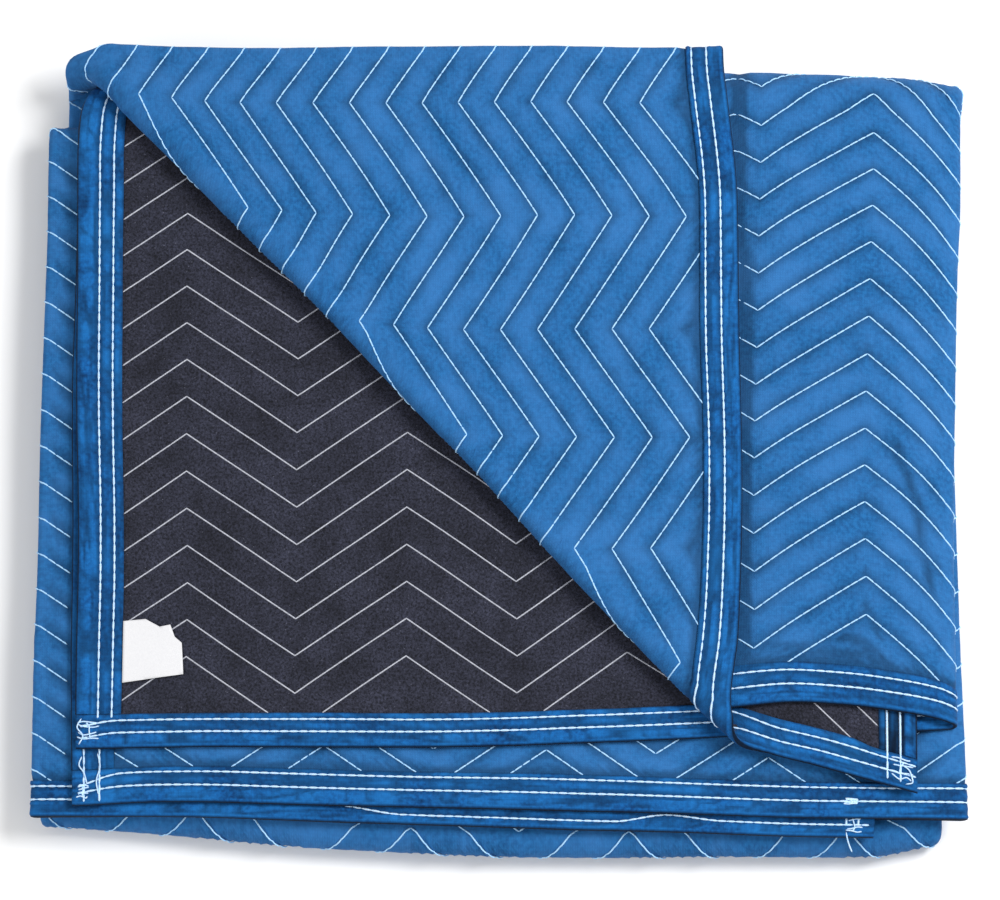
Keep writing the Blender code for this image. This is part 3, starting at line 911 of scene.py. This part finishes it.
# Where the rows show, on each side: from u, to u, from v, to v.
BLUE_SHOWS = (
    (TOP_START, TOP_START + 0.17, 0, REAR_TURN),
    (RIGHT_TURN, LEFT_TURN, REAR_TURN - 0.01, REAR_END),
    (RIGHT_TURN, TUCK_START, REAR_END, FRONT_TURN),
    (RIGHT_TURN, TUCK_START + 0.01, FRONT_TURN, FRONT_END + 0.01),
    (RIGHT_TURN - 0.01, TOP_START + 0.01, 0, LENGTH),
    (LEFT_TURN - 0.01, TUCK_START + 0.02, 0, LENGTH),
    (0, RIGHT_TURN, LENGTH - 0.06, LENGTH),
    (TUCK_START, WIDTH, 0, REAR_TURN),
)
BLACK_SHOWS = (
    (0, RIGHT_TURN, 0, REAR_TURN),
    (WIDTH - 0.15, WIDTH, 0, 0.05),
)


def shows(u, v, stretches):
    seen = any(from_u < u < to_u and from_v < v < to_v for from_u, to_u, from_v, to_v in stretches)
    return seen and from_tapes(u, v) > -UNDER_TAPE


def wound(mesh, path, radius):
    """A thread along a path of places (u, v, n), as a tube that closes at both ends."""
    middle = [folded(*place) for place in path]
    over = [folded(u, v, n + math.copysign(JUST_OVER, n)) for u, v, n in path]
    made = bmesh.ops.create_grid(mesh, x_segments=len(path) - 1, y_segments=SIDES, size=1)["verts"]
    for vert in made:
        step = round((vert.co.x + 1) / 2 * (len(path) - 1))
        turn = round((vert.co.y + 1) / 2 * SIDES) % SIDES / SIDES * 2 * math.pi
        ahead = (middle[min(step + 1, len(path) - 1)] - middle[max(step - 1, 0)]).normalized()
        up = (over[step] - middle[step]).normalized()
        beside = ahead.cross(up).normalized()
        outward = math.cos(turn) * beside + math.sin(turn) * beside.cross(ahead).normalized()
        size = radius if 0 < step < len(path) - 1 else 0
        vert.co = middle[step] + size * outward
    bmesh.ops.remove_doubles(mesh, verts=made, dist=1e-5)


def runs(wanted):
    """The unbroken runs of True in a list, as ranges."""
    start = None
    for i, yes in enumerate([*wanted, False]):
        if yes and start is None:
            start = i
        elif not yes and start is not None:
            yield range(start, i)
            start = None


def quilting(side, stretches, lifts, radius):
    mesh = bmesh.new()
    first = math.ceil(-FIRST_PEAK / STITCH_ALONG_U)
    last = math.floor((WIDTH - FIRST_PEAK) / STITCH_ALONG_U)
    for line in range(1, math.ceil(LENGTH / LINE_PITCH) + 1):
        middle = FIRST_LINE + line * LINE_PITCH
        places = []
        for i in range(first * PARTS, last * PARTS + 1):
            u = first_peak(middle) + i * STITCH_ALONG_U / PARTS
            places.append((u, middle + zigzag(u, middle)))
        wanted = [shows(u, v, stretches) for u, v in places]
        for run in runs(wanted):
            if len(run) > PARTS:
                path = []
                for i in run:
                    height = cloth_height(*places[i], side) + lifts[i % PARTS]
                    path.append((*places[i], side * height))
                wound(mesh, path, radius)
    bmesh.ops.recalc_face_normals(mesh, faces=mesh.faces)
    return mesh


def spun_polyester(name, light, dark):
    """Sewing thread: two plies of spun polyester twisted together, softly glossy, with darker turns."""
    material, tree, shader = new_material(name, Roughness=0.55, Sheen_Weight=0.3, Specular_IOR_Level=0.4)
    place = add(tree, "ShaderNodeTexCoord").outputs["Object"]
    turns = add(tree, "ShaderNodeTexNoise", {
        "Vector": place, "Scale": 1 / (0.9 * MM), "Detail": 2.0,
    }).outputs["Fac"]
    shade = add(tree, "ShaderNodeMapRange", {0: turns, 1: 0.35, 2: 0.6}).outputs[0]
    colour = add(tree, "ShaderNodeMix", {0: shade, 6: linear(dark), 7: linear(light)}, data_type="RGBA")
    tree.links.new(colour.outputs[2], shader.inputs["Base Color"])
    bump = add(tree, "ShaderNodeBump", {"Strength": 0.4, "Distance": 0.2 * MM, "Height": turns})
    tree.links.new(bump.outputs[0], shader.inputs["Normal"])
    return material


blue_side_thread = piece(
    "blue_side_quilting",
    quilting(1, BLUE_SHOWS, BLUE_SIDE_LIFTS, QUILTING_THREAD),
    spun_polyester("spun polyester thread", "#B2E0FF", "#8EC6F8"),
    "blue_cloth",
)
black_side_thread = piece(
    "black_side_quilting",
    quilting(-1, BLACK_SHOWS, BLACK_SIDE_LIFTS, BOBBIN_THREAD),
    spun_polyester("spun polyester bobbin thread", "#C2C5D0", "#989BA6"),
    "black_cloth",
)

# ---------------------------------------------------------------- The binding thread
# The same thread in two rows along each tape, in longer stitches. It starts and stops at the corners, where
# it is sewn to and fro and its cut ends are left standing.

ROW_STITCH = 0.0066
ROW_LIFTS = (-0.00005, 0.00045, 0.00055, 0.00045)
ROW_THREAD = 0.00080
# Where a tape's rows show: its place in the list, the side of the cloth, and how far along it they run.
FRONT, LOWER, LEFT, TUCKED = range(4)
ROWS_SHOW = (
    (FRONT, -1, 0.002, 0.612),
    (FRONT, 1, 0.600, 0.790),
    (FRONT, 1, 1.240, 1.760),
    (FRONT, -1, 1.680, WIDTH - 0.003),
    (LOWER, 1, 0.003, 0.640),
    (LOWER, 1, 1.222, 1.290),
    (LOWER, 1, 1.400, WIDTH - 0.004),
    (LEFT, -1, 0.0190, REAR_TURN + 0.02),
    (LEFT, 1, LENGTH - 0.10, LENGTH - 0.004),
    (TUCKED, -1, 0.003, 0.10),
    (TUCKED, 1, LENGTH - 0.06, LENGTH - 0.004),
)
# Where the sewing ends in a tangle of stitches to and fro: u, v, side, and its size along u and v.
TANGLES = (
    (0.0085, 0.0120, -1, 0.017, 0.013),
    (0.0075, LENGTH - 0.0095, 1, 0.010, 0.010),
    (WIDTH - 0.011, 0.0125, -1, 0.016, 0.014),
    (WIDTH - 0.015, LENGTH - 0.0100, 1, 0.014, 0.017),
    (0.5325, LENGTH - 0.0115, 1, 0.011, 0.004),
)
STROKES = 5
STROKE_PLACES = (-0.5, -0.2, 0.2, 0.5)  # where a stroke passes along its tangle
STROKE_WANDERS = 0.12  # how far it wanders aside, as a share of the tangle
SHORTEST_STROKE = 0.6
# Cut ends of thread that lie loose: the side, and the places that each passes.
LOOSE_ENDS = (
    (1, (
        (0.0070, LENGTH - 0.034), (0.0050, LENGTH - 0.028),
        (0.0085, LENGTH - 0.022), (0.0105, LENGTH - 0.014),
    )),
    (1, (
        (0.0175, LENGTH - 0.036), (0.0195, LENGTH - 0.026),
        (0.0170, LENGTH - 0.016), (0.0185, LENGTH - 0.006),
    )),
    (1, (
        (WIDTH - 0.021, LENGTH - 0.004), (WIDTH - 0.019, LENGTH + 0.004), (WIDTH - 0.016, LENGTH + 0.011),
    )),
    (-1, ((WIDTH - 0.012, 0.016), (WIDTH - 0.006, 0.013), (WIDTH - 0.0035, 0.006), (WIDTH - 0.009, 0.003))),
    (-1, ((0.004, 0.020), (0.001, 0.014), (0.005, 0.008), (0.002, 0.002))),
)
OVER_TAPE = 0.0006
LOOSE_THREAD = 0.0005
LOOSE_STEPS = 5  # from one place to the next
# How high a stroke arches at most, and how high a loose end does.
STROKE_ARCH = 0.0008
LOOSE_ARCH = 0.0015


def loose_thread(mesh, side, places, arch):
    """A thread laid over the tape through some places, arching up between its ends."""
    us, vs = (curve(*enumerate(column)) for column in zip(*places))
    steps = LOOSE_STEPS * (len(places) - 1)
    path = []
    for i in range(steps + 1):
        u, v = us(i / LOOSE_STEPS), vs(i / LOOSE_STEPS)
        path.append((u, v, side * (surface(u, v, side) + OVER_TAPE + arch * math.sin(math.pi * i / steps))))
    wound(mesh, path, LOOSE_THREAD)


def binding_rows():
    mesh = bmesh.new()
    for number, side, start, end in ROWS_SHOW:
        _, _, edge_at, runs_along_u, rows_at = BINDINGS[number]
        for row in rows_at[:2]:
            path = []
            for i in range(round((end - start) / ROW_STITCH) * PARTS + 1):
                along = start + i * ROW_STITCH / PARTS
                across = abs(edge_at - row(along))
                u, v = (along, across) if runs_along_u else (across, along)
                path.append((u, v, side * (surface(u, v, side) + ROW_LIFTS[i % PARTS])))
            wound(mesh, path, ROW_THREAD)
    for number, (u, v, side, size_u, size_v) in enumerate(TANGLES):
        chance = random.Random(number)
        for stroke in range(STROKES):
            lengthwise = stroke % 3 != 2
            lane = (stroke + 0.5) / STROKES - 0.5
            places = []
            for place in STROKE_PLACES:
                along = place * chance.uniform(SHORTEST_STROKE, 1.0)
                aside = lane + chance.uniform(-STROKE_WANDERS, STROKE_WANDERS)
                off_u, off_v = (along, aside) if lengthwise else (aside, along)
                places.append((u + off_u * size_u, v + off_v * size_v))
            loose_thread(mesh, side, places, chance.uniform(0, STROKE_ARCH))
    for side, places in LOOSE_ENDS:
        loose_thread(mesh, side, places, LOOSE_ARCH)
    bmesh.ops.recalc_face_normals(mesh, faces=mesh.faces)
    return mesh


row_thread = piece(
    "binding_stitches",
    binding_rows(),
    spun_polyester("spun polyester binding thread", "#D0EAFF", "#A4D2FE"),
    "blue_binding",
)

# ---------------------------------------------------------------- The label
# A small bare label of thin white spun-bonded cloth, sewn under the binding. Its free edges are torn
# uneven, and its corners lift a little.

LABEL_OUTLINE = (
    # u, v
    (0.0313, 0.0430),
    (0.0738, 0.0485),
    (0.0722, 0.0700),
    (0.0672, 0.0741),
    (0.0640, 0.0824),
    (0.0566, 0.0808),
    (0.0466, 0.0860),
    (0.0313, 0.0845),
)
LABEL_CLOTH = 0.0003
LABEL_CELL = 0.003
LABEL_SEWN = 0.034  # how far it is sewn down, as u
LABEL_LIFT = 0.0022  # how far its free corners lift
MIDDLE_LIFTS = 0.3  # what share of that its free edge lifts half way between them


def label_mesh():
    mesh = bmesh.new()
    mesh.faces.new([mesh.verts.new((u, v, 0)) for u, v in LABEL_OUTLINE])
    for axis in (0, 1):
        ends = sorted(place[axis] for place in LABEL_OUTLINE)
        for at in marks(ends[0], ends[-1], LABEL_CELL)[1:]:
            cut = Vector((at, 0, 0)) if axis == 0 else Vector((0, at, 0))
            geometry = [*mesh.verts, *mesh.edges, *mesh.faces]
            bmesh.ops.bisect_plane(mesh, geom=geometry, plane_co=cut, plane_no=cut.normalized(), dist=1e-6)
    for vert in mesh.verts:
        u, v, _ = vert.co
        free = eased((u - LABEL_SEWN) / (LABEL_OUTLINE[1][0] - LABEL_SEWN))
        curl = abs(2 * (v - LABEL_OUTLINE[0][1]) / (LABEL_OUTLINE[-1][1] - LABEL_OUTLINE[0][1]) - 1)
        vert.co.z = -CLOTH / 2 - LABEL_CLOTH - LABEL_LIFT * free * mix(MIDDLE_LIFTS, 1, curl ** 2)
    bmesh.ops.recalc_face_normals(mesh, faces=mesh.faces)
    bmesh.ops.solidify(mesh, geom=mesh.faces, thickness=LABEL_CLOTH)
    bmesh.ops.recalc_face_normals(mesh, faces=mesh.faces)
    fold_up(mesh, 0, CLOTH)
    return mesh


def spun_bonded(name, white, shade):
    """Spun-bonded label cloth: smooth and white, with faint fibres pressed into it."""
    material, tree, shader = new_material(name, Roughness=0.6, Specular_IOR_Level=0.4)
    flat = add(tree, "ShaderNodeUVMap", uv_map="flat").outputs["UV"]
    fibres = add(tree, "ShaderNodeTexNoise", {
        "Vector": flat, "Scale": 1 / (2 * MM), "Distortion": 2.0,
    }).outputs["Fac"]
    colour = add(tree, "ShaderNodeMix", {0: fibres, 6: linear(shade), 7: linear(white)}, data_type="RGBA")
    tree.links.new(colour.outputs[2], shader.inputs["Base Color"])
    bump = add(tree, "ShaderNodeBump", {"Strength": 0.2, "Distance": 0.2 * MM, "Height": fibres})
    tree.links.new(bump.outputs[0], shader.inputs["Normal"])
    return material


label = piece(
    "bare_label",
    label_mesh(),
    spun_bonded("spun-bonded label", "#DEDEE0", "#CFCFD2"),
    "white_label",
    "label",
)

# ---------------------------------------------------------------- The floor and the light
# A plain white floor under broad soft light from above, a little stronger from the right and behind.

FLOOR_SIZE = 12
FLOOR_HEIGHT = -0.0007  # the cloth rumples this far below the solids
mesh = bmesh.new()
bmesh.ops.create_grid(mesh, x_segments=1, y_segments=1, size=FLOOR_SIZE / 2)
data = bpy.data.meshes.new("floor")
mesh.to_mesh(data)
mesh.free()
floor = bpy.data.objects.new("floor", data)
floor.location.z = FLOOR_HEIGHT
bpy.context.scene.collection.objects.link(floor)
floor_paint, tree, shader = new_material("matt white floor", Roughness=0.9)
shader.inputs["Base Color"].default_value = linear("#F4F4F4")
data.materials.append(floor_paint)

LIGHTS = (
    # name, place, size, watts
    ("soft_key", (1.5, 0.6, 2.3), 1.1, 70),
    ("soft_fill", (-1.7, -1.3, 2.2), 2.5, 26),
)
for name, place, size, watts in LIGHTS:
    lamp = bpy.data.lights.new(name, "AREA")
    lamp.size = size
    lamp.energy = watts
    light = bpy.data.objects.new(name, lamp)
    light.location = place
    light.rotation_euler = (-Vector(place)).to_track_quat("-Z", "Y").to_euler()
    bpy.context.scene.collection.objects.link(light)

world = bpy.data.worlds.new("studio")
world.use_nodes = True
world.node_tree.nodes["Background"].inputs["Color"].default_value = (1, 1, 1, 1)
world.node_tree.nodes["Background"].inputs["Strength"].default_value = 0.57
bpy.context.scene.world = world
bpy.context.scene.view_settings.view_transform = "Standard"

# ---------------------------------------------------------------- The camera
# It looks down on the stack from the front, ten degrees off the vertical.

ELEVATION = math.radians(80)
DISTANCE = 3.5
TARGET = Vector((0.2918, 0.2115, 0.05)) + to_frame
camera = bpy.data.objects.new("camera", bpy.data.cameras.new("camera"))
away = Vector((0, -math.cos(ELEVATION), math.sin(ELEVATION)))
camera.location = TARGET + DISTANCE * away
camera.rotation_euler = away.to_track_quat("Z", "Y").to_euler()
camera.data.lens = 181.8
camera.data.sensor_width = 36
bpy.context.scene.collection.objects.link(camera)
bpy.context.scene.camera = camera
